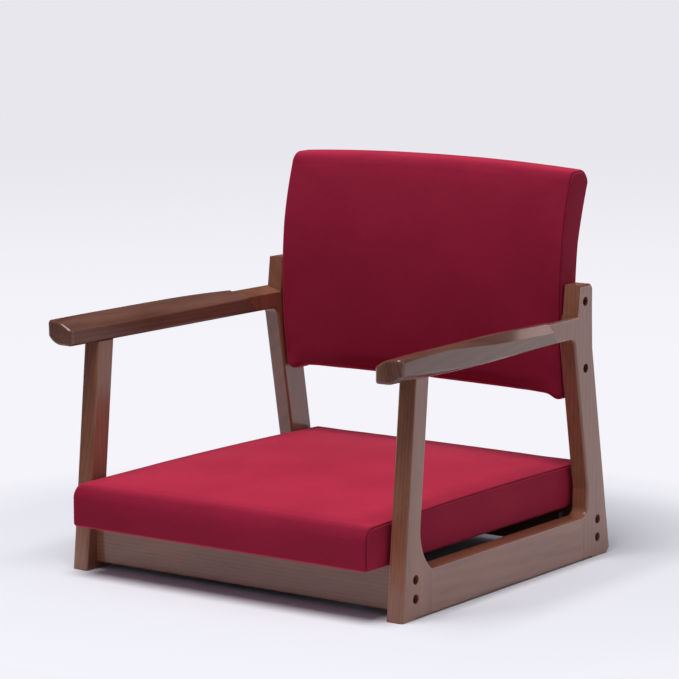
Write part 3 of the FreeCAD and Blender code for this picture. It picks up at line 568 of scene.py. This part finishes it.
CRIMSON_DEEP = "#7C122B"
CRIMSON = "#981D39"
CRIMSON_PAINTED_SHEEN_DEEP = "#AA2340"   # painted sheen: the colour is drawn lighter where the cloth is seen edge-on
CRIMSON_PAINTED_SHEEN = "#C8324E"
# painted shade at the bottom of a seam
CRIMSON_PAINTED_SEAM_SHADE = "#3A0A15"
CRIMSON_SHEEN = "#FF5A70"
CRIMSON_AT = (0.25, 0.7)         # where along the mottling the deep and the full colour show
PAINTED_SHEEN_FACING = (0.34, 0.74)      # the painted sheen comes in between these turns away from the eye
THREAD_SPACING = 0.0011          # the real weave is 0.4 mm, drawn coarser so that it shows
SLUBS = (60, 700, 1)             # in a metre: thicker places, long across the chair
SLUB_SHARE = 0.5
NAP_SHARE = 0.45


def woven_crimson():
    """Woven polyester upholstery: matt plain weave with slight slubs, and a painted sheen that
    lightens the colour where it is seen edge-on. The weave follows the cloth's own map, in metres."""
    material, tree, surface = finish("woven_crimson")
    cloth = add(tree, "ShaderNodeUVMap", uv_map="cloth").outputs["UV"]
    thread_wave = {
        "Vector": cloth, "Scale": WAVELENGTH / THREAD_SPACING / 2,
        "Distortion": 0.35, "Detail": 1.0, "Detail Scale": 3.0,
    }
    weft = add(tree, "ShaderNodeTexWave", thread_wave, bands_direction="X").outputs["Fac"]
    warp = add(tree, "ShaderNodeTexWave", thread_wave, bands_direction="Y").outputs["Fac"]
    over = add(tree, "ShaderNodeTexChecker", {"Vector": cloth, "Scale": 1 / THREAD_SPACING}).outputs["Fac"]
    slubs = noise(tree, stretched(tree, cloth, SLUBS), scale=1.0, detail=2.0)
    threads = mix(tree, SLUB_SHARE, mix(tree, over, weft, warp), slubs)
    mottled = mix(tree, NAP_SHARE, threads, noise(tree, object_place(tree), scale=9.0, detail=4.0))
    face_on = ramp(tree, mottled, list(zip(CRIMSON_AT, (CRIMSON_DEEP, CRIMSON))))
    painted_sheen_tone = ramp(tree, mottled, list(zip(CRIMSON_AT, (CRIMSON_PAINTED_SHEEN_DEEP, CRIMSON_PAINTED_SHEEN))))
    # Painted sheen: where the cloth is seen edge-on, its colour is mixed towards lighter tones.
    facing = add(tree, "ShaderNodeLayerWeight", {"Blend": 0.5}).outputs["Facing"]
    tone = mix(tree, remap(tree, facing, PAINTED_SHEEN_FACING, (0.0, 1.0)), face_on, painted_sheen_tone, "RGBA")
    # Painted shade: the colour darkens at the bottom of a seam, where the fabric turns in on itself and
    # little light reaches.
    crease = add(tree, "ShaderNodeAttribute", attribute_name="crease").outputs["Fac"]
    feed(tree, surface, {
        "Base Color": mix(tree, crease, tone, linear(CRIMSON_PAINTED_SEAM_SHADE), "RGBA"),
        "Normal": bump(tree, threads, strength=0.35, distance=0.0003),
        "Roughness": 0.85,
        "Specular IOR Level": 0.12,
        "Sheen Weight": 0.25,
        "Sheen Roughness": 0.35,
        "Sheen Tint": linear(CRIMSON_SHEEN),
    })
    return material


crimson = woven_crimson()
seat_pad.data.materials.append(crimson)
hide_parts("seat_cover", "seat_cover_left_side", "seat_cover_right_side", "seat_foam")
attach(seat_pad, "root")

# ---- Seam thread -------------------------------------------------------------------------------
# Twisted polyester thread, a little darker and glossier than the fabric, holds each side panel to
# the long panel. It shows as short stitches at the bottom of the seam.
STITCH_PITCH = 0.0034
STITCH_LENGTH = 0.0026
THREAD_THICKNESS = 0.0006
STITCH_SIDES, STITCH_BANDS = 8, 5
THREAD_TONES = [(0.35, "#5A0F20"), (0.7, "#84182F")]


def repeat_tree():
    """A node tree that sets copies of one shape at an even pitch along a path, each in line with it."""
    tree = bpy.data.node_groups.new("copies_along_path", "GeometryNodeTree")
    identifiers = {}
    kinds = {"Path": "Geometry", "Pitch": "Float", "Shape": "Object", "Material": "Material"}
    for name, kind in kinds.items():
        socket = tree.interface.new_socket(name, in_out="INPUT", socket_type=f"NodeSocket{kind}")
        identifiers[name] = socket.identifier
    tree.interface.new_socket("Copies", in_out="OUTPUT", socket_type="NodeSocketGeometry")
    given = add(tree, "NodeGroupInput").outputs
    path = add(tree, "GeometryNodeMeshToCurve", {"Mesh": given["Path"]}).outputs["Curve"]
    spots = add(
        tree, "GeometryNodeCurveToPoints", {"Curve": path, "Length": given["Pitch"]}, mode="LENGTH",
    ).outputs
    in_line = add(tree, "FunctionNodeAlignRotationToVector", {"Vector": spots["Tangent"]}, axis="X")
    shape = add(tree, "GeometryNodeObjectInfo", {"Object": given["Shape"]})
    copies = add(tree, "GeometryNodeInstanceOnPoints", {
        "Points": spots["Points"],
        "Instance": shape.outputs["Geometry"],
        "Rotation": in_line.outputs["Rotation"],
    })
    real = add(tree, "GeometryNodeRealizeInstances", {"Geometry": copies.outputs["Instances"]})
    dressed = add(tree, "GeometryNodeSetMaterial", {
        "Geometry": real.outputs["Geometry"], "Material": given["Material"],
    })
    add(tree, "NodeGroupOutput", {"Copies": dressed.outputs["Geometry"]})
    return tree, identifiers


copies_along_path, path_inputs = repeat_tree()


def set_along(name, paths, pitch, shape, material):
    """One piece made of copies of a shape along each path, as a plain mesh."""
    points, edges = [], []
    for path in paths:
        edges += [(len(points) + i, len(points) + i + 1) for i in range(len(path) - 1)]
        points += path
    lines = bpy.data.meshes.new(name)
    lines.from_pydata(points, edges, [])
    piece = put_in_scene(name, lines)
    modifier = piece.modifiers.new("copies", "NODES")
    modifier.node_group = copies_along_path
    for given, value in (("Pitch", pitch), ("Shape", shape), ("Material", material)):
        modifier[path_inputs[given]] = value
    copies = shaped_mesh(piece)
    piece.modifiers.remove(modifier)
    piece.data = copies
    bpy.data.meshes.remove(lines)
    bpy.data.objects.remove(shape)
    return piece


def join_rings(shape, rings):
    """Faces from each ring of a shape's points to the next."""
    for near, far in zip(rings, rings[1:]):
        for i in range(len(near)):
            j = (i + 1) % len(near)
            shape.faces.new((near[i], near[j], far[j], far[i]))


def stitch_shape():
    """One stitch: a short rounded length of thread along X."""
    stitch = bmesh.new()
    thick = THREAD_THICKNESS / 2
    rings = []
    for level in np.linspace(0, math.pi, STITCH_BANDS + 1)[1:-1]:
        rings.append([
            stitch.verts.new((
                STITCH_LENGTH / 2 * math.sin(level) * math.cos(turn),
                thick * math.sin(level) * math.sin(turn),
                thick * math.cos(level),
            ))
            for turn in np.linspace(0, 2 * math.pi, STITCH_SIDES, endpoint=False)
        ])
    join_rings(stitch, rings)
    for height, ring in ((thick, rings[0]), (-thick, rings[-1])):
        tip = stitch.verts.new((0, 0, height))
        for i in range(STITCH_SIDES):
            stitch.faces.new((tip, ring[i], ring[(i + 1) % STITCH_SIDES]))
    bmesh.ops.recalc_face_normals(stitch, faces=stitch.faces[:])
    return object_from("stitch", stitch)


def seam_paths(piece, seams):
    """The closed lines at the bottom of a piece's seams."""
    return [[piece.data.vertices[i].co.copy() for i in seam + seam[:1]] for seam in seams]


thread = speckled(
    "twisted_thread", THREAD_TONES, {"Roughness": 0.6, "Specular IOR Level": 0.3}, scale=2500.0, detail=1.0,
)
seat_paths = seam_paths(seat_pad, seat_seams)
seat_thread = set_along("seat_seam_thread", seat_paths, STITCH_PITCH, stitch_shape(), thread)
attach(seat_thread, "root")

# ---- Staples -----------------------------------------------------------------------------------
# Zinc-plated wire staples hold the cover's hem to the underside of the seat board: a row across in
# front and at the rear, and a row along each side between the cross rails.
STAPLE_PITCH = 0.024
STAPLE_WIDTH = 0.010
STAPLE_WIRE = 0.0007
STAPLE_LEG = 0.003
STAPLE_BEND = 0.0008
WIRE_SECTION = ((1, 0.6), (0.6, 1), (-0.6, 1), (-1, 0.6), (-1, -0.6), (-0.6, -1), (0.6, -1), (1, -0.6))
RAIL_CLEARANCE = 0.012       # from a cross rail to the first staple beside it


def staple_shape():
    """One staple: a flat wire crown along X with a rounded bend and a leg at each end."""
    half = STAPLE_WIDTH / 2
    line = [
        (-half, STAPLE_LEG), (-half, STAPLE_BEND),
        (-half + STAPLE_BEND * 0.3, STAPLE_BEND * 0.3), (-half + STAPLE_BEND, 0),
    ]
    line += [(-x, z) for x, z in reversed(line)]
    wire = bmesh.new()
    rings = []
    for i, (x, z) in enumerate(line):
        before, after = line[max(i - 1, 0)], line[min(i + 1, len(line) - 1)]
        run, rise = after[0] - before[0], after[1] - before[1]
        size = math.hypot(run, rise)
        normal = (-rise / size * STAPLE_WIRE / 2, run / size * STAPLE_WIRE / 2)
        rings.append([
            wire.verts.new((x + normal[0] * a, b * STAPLE_WIRE / 2, z + normal[1] * a))
            for a, b in WIRE_SECTION
        ])
    join_rings(wire, rings)
    wire.faces.new(rings[0])
    wire.faces.new(rings[-1])
    bmesh.ops.recalc_face_normals(wire, faces=wire.faces[:])
    return object_from("staple", wire)


def on_hem(side, run, setback):
    """A place on the hem's underside, at a setback from the seat's left or right edge."""
    across = inner_half(run) - SEAT_SIDE_GAP - setback
    return Vector((side * across, run + FRONT_LINE, SEAT_BOTTOM - STAPLE_WIRE / 2))


front_row = -SEAT_OVERHANG + SEAT_HEM * 0.6
rear_row = SEAT_REAR - SEAT_HEM + 0.005
first_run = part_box("front_rail")[1][1] - FRONT_LINE + RAIL_CLEARANCE
last_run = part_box("rear_rail")[0][1] - FRONT_LINE - RAIL_CLEARANCE
staple_rows = [[on_hem(side, run, SEAT_HEM * 0.75) for side in (-1, 1)] for run in (front_row, rear_row)]
staple_rows += [[on_hem(side, run, SEAT_HEM / 2) for run in (first_run, last_run)] for side in (-1, 1)]
staples = set_along("hem_staples", staple_rows, STAPLE_PITCH, staple_shape(), zinc_plate)
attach(staples, "root")

# ---- Dust cover --------------------------------------------------------------------------------
# A thin black non-woven cloth under the seat, inside the cover's hem. Its fibres are pressed into a
# fine, dull felt.
FELT_TONES = [(0.35, "#141414"), (0.7, "#2A2A2A")]
pressed_felt = speckled(
    "black_nonwoven", FELT_TONES, {"Roughness": 0.95, "Specular IOR Level": 0.2},
    scale=1600.0, detail=4.0, distortion=1.5, relief=(0.3, 0.0001),
)
dress("seat_dust_cover", pressed_felt)

# ---- Backrest upholstery -----------------------------------------------------------------------
# Foam round the bent backrest board, under the same fabric: one long panel that rolls over the top
# edge and two side panels. It is fuller in the middle and its lower corners are gathered a little.
BACK_GAP = 0.0016
BACK_TOP = 0.5525
BACK_BOTTOM = 0.238
BACK_DROOP = 0.006
BACK_SWELL = 0.007
BACK_EASE = 0.009
BACK_ROWS = (                    # share of the height, distance before the frame's rear, thickness
    (0.0, 0.0868, 0.0430),
    (0.36, 0.0978, 0.0445),
    (0.68, 0.0938, 0.0465),
    (0.83, 0.0848, 0.0500),
    (0.95, 0.0743, 0.0520),
)
TOP_ROLL_SHARE = 0.4             # of the thickness, rounded off at the front and at the rear
BACK_SPINE_ENDS = (0.018, 0.026)  # the side panels' middle line stops this far from bottom and top
BACK_RIM = {"rim_setback": 0.008, "rim_inset": 0.005, "side_bulge": 0.0005, "seam_shade": 0.3}
BACK_HOLD_REACH = 0.009
BACK_SWELL_LIMIT = 0.002
GATHER_AT = (0.229, 0.233)       # across and up
GATHER_SIZE = (0.011, 0.010)
GATHER_DROP = 0.0055
GATHER_FORWARD = 0.4             # of the drop


def through(start, middle, end, points):
    """Points on a smooth curve from one place to another through a third."""
    start, middle, end = (np.array(place) for place in (start, middle, end))
    steps = np.linspace(0, 1, points, endpoint=False)[:, None]
    reach = np.hypot(*(middle - start))
    share = reach / (reach + np.hypot(*(end - middle)))
    control = (middle - start * (1 - share) ** 2 - end * share ** 2) / (2 * share * (1 - share))
    return list(start * (1 - steps) ** 2 + 2 * control * steps * (1 - steps) + end * steps ** 2)


def back_outline(share, inset):
    """The backrest from the side, from its rear underside forward, up and back down."""
    middle = 1 - share ** 2
    droop = BACK_DROOP * (1 - middle)
    low = BACK_BOTTOM - droop + inset
    high = BACK_TOP - droop - inset
    fullness = BACK_SWELL * middle
    fronts, rears = [], []
    for part, ahead, thickness in BACK_ROWS:
        front = FRAME_LENGTH - ahead
        height = low + (high - low) * part
        fronts.append((front + inset - fullness, height))
        rears.append((front + thickness - inset + fullness / 2, height))
    ease = BACK_EASE - min(inset, BACK_EASE / 2)
    roll = (rears[4][0] - fronts[4][0]) * TOP_ROLL_SHARE
    foot_front = (fronts[0][0], low + ease)
    foot_rear = (rears[0][0], low + ease)
    top_front = (fronts[4][0] + roll, high)
    top_rear = (rears[4][0] - roll, high)
    return (
        sample((rears[0][0] - ease, low), (fronts[0][0] + ease, low), points=10)
        + quarter((fronts[0][0] + ease, low), foot_front, points=9)
        + through(foot_front, fronts[1], fronts[2], points=44)
        + through(fronts[2], fronts[3], fronts[4], points=24)
        + quarter(fronts[4], top_front, points=12)
        + sample(top_front, top_rear, points=6)
        + quarter(top_rear, rears[4], points=12)
        + through(rears[4], rears[3], rears[2], points=22)
        + through(rears[2], rears[1], foot_rear, points=40)
        + quarter(foot_rear, (rears[0][0] - ease, low), points=9)
    )


def back_spine(y, z):
    """The place on the middle line of the backrest's side panel that a point of its edge shrinks to."""
    height = min(max(z, BACK_BOTTOM + BACK_SPINE_ENDS[0]), BACK_TOP - BACK_SPINE_ENDS[1])
    part = (height - BACK_BOTTOM) / (BACK_TOP - BACK_BOTTOM)
    shares = [row[0] for row in BACK_ROWS]
    middles = [FRAME_LENGTH - ahead + thickness / 2 for _, ahead, thickness in BACK_ROWS]
    return float(np.interp(part, shares, middles)), height


def back_held(at):
    """The backrest's fabric is held at its side seams."""
    to_side = inner_half(at.y - FRONT_LINE) - BACK_GAP - abs(at.x)
    return 0.95 if to_side < BACK_HOLD_REACH else 0.0


back_pad, back_seams = pad_surface("backrest_upholstery", back_outline, back_spine, BACK_GAP, **BACK_RIM)
swell(back_pad, back_held, BACK_SWELL_LIMIT)

# Where the cover is gathered at the lower corners, it hangs in a small lump.
for vertex in back_pad.data.vertices:
    to_corner = (abs(vertex.co.x) - GATHER_AT[0]) / GATHER_SIZE[0]
    to_foot = (vertex.co.z - GATHER_AT[1]) / GATHER_SIZE[1]
    fullness = math.exp(-to_corner ** 2 - to_foot ** 2)
    vertex.co.z -= GATHER_DROP * fullness
    vertex.co.y -= GATHER_DROP * GATHER_FORWARD * fullness

back_pad.data.materials.append(crimson)
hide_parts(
    "backrest_cover", "backrest_cover_left_side", "backrest_cover_right_side", "backrest_foam",
)
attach(back_pad, "root")
back_paths = seam_paths(back_pad, back_seams)
back_thread = set_along("backrest_seam_thread", back_paths, STITCH_PITCH, stitch_shape(), thread)
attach(back_thread, "root")

# ---- Spacers -----------------------------------------------------------------------------------
# Dark, slightly waxy nylon washers between the backrest and the rear posts, moulded with a fine
# matt face.
NYLON_TONES = [(0.4, "#1C1816"), (0.7, "#26211E")]
moulded_nylon = speckled("moulded_nylon", NYLON_TONES, {"Roughness": 0.55}, scale=1200.0, detail=2.0)
dress("backrest_spacers", moulded_nylon)

# ---- Floor, light and camera -------------------------------------------------------------------
# A pale matt floor that turns a little greyer in the distance, a broad lamp overhead and the
# photograph's own angle.
FLOOR = "#F4F4F8"
FLOOR_BEYOND = "#77777A"
FLOOR_NEAR_BACKDROP = "#F5F4FA"
FLOOR_FAR_BACKDROP = "#E8E7ED"
FLOOR_HALF = 60

# Distances from the chair's middle between which one look of the floor gives way to the next.
LIT_FLOOR_ENDS = (0.7, 1.0)
BACKDROP_STARTS = (0.55, 0.8)
BACKDROP_GREYS = (1.6, 6.0)
REFLECTION_STARTS = (0.45, 0.75)
REFLECTION_BRIGHTENS = (-1.1, -0.35)     # from front to back
REFLECTION_STRENGTH = (0.1, 1.0)


def pale_floor():
    """Smooth pale floor, seen as an even backdrop further away."""
    material, tree, surface = finish("pale_floor")
    place = object_place(tree)
    reach = add(tree, "ShaderNodeVectorMath", {0: place}, operation="LENGTH").outputs["Value"]
    ray = add(tree, "ShaderNodeLightPath").outputs

    def blend(value, given, wanted=(0.0, 1.0)):
        return remap(tree, value, given, wanted, interpolation_type="SMOOTHSTEP")

    # Only the floor near the chair throws light back, as in a studio with dark surroundings.
    lit = ramp(tree, reach, list(zip(LIT_FLOOR_ENDS, (FLOOR, FLOOR_BEYOND))))
    feed(tree, surface, {"Base Color": lit, "Roughness": 0.9, "Specular IOR Level": 0.1})

    # To the camera the lit floor passes into an even backdrop that is greyer further away.
    greys = [(0.0, FLOOR_NEAR_BACKDROP), (1.0, FLOOR_FAR_BACKDROP)]
    distance = ramp(tree, blend(reach, BACKDROP_GREYS), greys)
    backdrop = add(tree, "ShaderNodeEmission", {"Color": distance, "Strength": 1.0})
    far = times(tree, blend(reach, BACKDROP_STARTS), ray["Is Camera Ray"])
    shown = add(tree, "ShaderNodeMixShader", {0: far, 1: surface.outputs[0], 2: backdrop.outputs[0]})

    # The room is dark on the front side, so polished wood reflects a bright floor only beside and
    # behind the chair. Close to the chair it reflects the lit and shaded floor itself.
    run = add(tree, "ShaderNodeSeparateXYZ", {0: place}).outputs["Y"]
    reflected = add(tree, "ShaderNodeEmission", {
        "Color": linear(FLOOR_NEAR_BACKDROP),
        "Strength": blend(run, REFLECTION_BRIGHTENS, REFLECTION_STRENGTH),
    })
    beyond = times(tree, blend(reach, REFLECTION_STARTS), ray["Is Glossy Ray"])
    mixed = add(tree, "ShaderNodeMixShader", {0: beyond, 1: shown.outputs[0], 2: reflected.outputs[0]})
    feed(tree, tree.nodes["Material Output"], {"Surface": mixed.outputs[0]})
    return material


floor_mesh = bpy.data.meshes.new("floor")
corners = [(x * FLOOR_HALF, y * FLOOR_HALF, 0) for x, y in ((-1, -1), (1, -1), (1, 1), (-1, 1))]
floor_mesh.from_pydata(corners, [], [(0, 1, 2, 3)])
floor = put_in_scene("floor", floor_mesh)
floor_mesh.materials.append(pale_floor())

SKY = "#DCE2FA"
SKY_STRENGTH = 0.26
SKY_STRENGTH_IN_GLOSS = 0.05
world = bpy.data.worlds.new("studio")
bpy.context.scene.world = world
world.use_nodes = True
sky = world.node_tree
glossy_ray = add(sky, "ShaderNodeLightPath").outputs["Is Glossy Ray"]
feed(sky, sky.nodes["Background"], {
    "Color": linear(SKY),
    "Strength": remap(sky, glossy_ray, (0.0, 1.0), (SKY_STRENGTH, SKY_STRENGTH_IN_GLOSS)),
})

# Each lamp's place, the place it is aimed at, its width and height in metres and its power in watts.
LAMPS = {
    "overhead": ((0.1, -1.1, 3.85), (0, 0, 0.2), 2.1, 2.1, 130),
    "right_fill": ((3.4, 0.3, 2.2), (0, 0, 0.3), 1.6, 1.6, 10),
}
REFLECTORS = {
    "right_reflector": ((3.0, 1.6, 1.0), (0, 0, 0.3), 3.0, 2.2, 42),
    "rear_reflector": ((0.0, 6.0, 0.45), (0, 0, 0.3), 12.0, 1.0, 90),
}
REFLECTOR_TINT = "#FFDEDC"


def softbox(name, at, towards, width, height, power):
    """A broad rectangular lamp."""
    lamp = bpy.data.lights.new(name, "AREA")
    lamp.shape = "RECTANGLE"
    lamp.size = width
    lamp.size_y = height
    lamp.energy = power
    holder = put_in_scene(name, lamp)
    holder.location = at
    holder.rotation_mode = "QUATERNION"
    holder.rotation_quaternion = (Vector(towards) - Vector(at)).to_track_quat("-Z", "Y")
    return holder


for name, setting in LAMPS.items():
    softbox(name, *setting)
for name, setting in REFLECTORS.items():
    reflector = softbox(name, *setting)
    reflector.data.color = linear(REFLECTOR_TINT)[:3]
    reflector.visible_diffuse = False
    reflector.visible_camera = False

CAMERA_AT = Vector((2.72861, -3.75792, 1.04775))
AZIMUTH = 0.627815
ELEVATION = 0.155646
ROLL = -0.000466
FOCAL_PIXELS = 3393.59
FRAME_PIXELS = 679
CENTRE_PIXELS = (339.92, 337.05)

lens = bpy.data.cameras.new("camera")
camera = put_in_scene("camera", lens)
backward = Vector((
    math.sin(AZIMUTH) * math.cos(ELEVATION), -math.cos(AZIMUTH) * math.cos(ELEVATION), math.sin(ELEVATION),
))
right = Vector((0, 0, 1)).cross(backward).normalized()
up = backward.cross(right)
tilted_right = right * math.cos(ROLL) + up * math.sin(ROLL)
tilted_up = up * math.cos(ROLL) - right * math.sin(ROLL)
turn = Matrix((tilted_right, tilted_up, backward)).transposed()
camera.matrix_world = Matrix.Translation(CAMERA_AT) @ turn.to_4x4()
lens.sensor_width = 36
lens.lens = FOCAL_PIXELS / FRAME_PIXELS * lens.sensor_width
lens.shift_x = -(CENTRE_PIXELS[0] - (FRAME_PIXELS - 1) / 2) / FRAME_PIXELS
lens.shift_y = (CENTRE_PIXELS[1] - (FRAME_PIXELS - 1) / 2) / FRAME_PIXELS
lens.clip_start = 0.05
lens.clip_end = 200
bpy.context.scene.camera = camera
bpy.context.scene.view_settings.view_transform = "Standard"
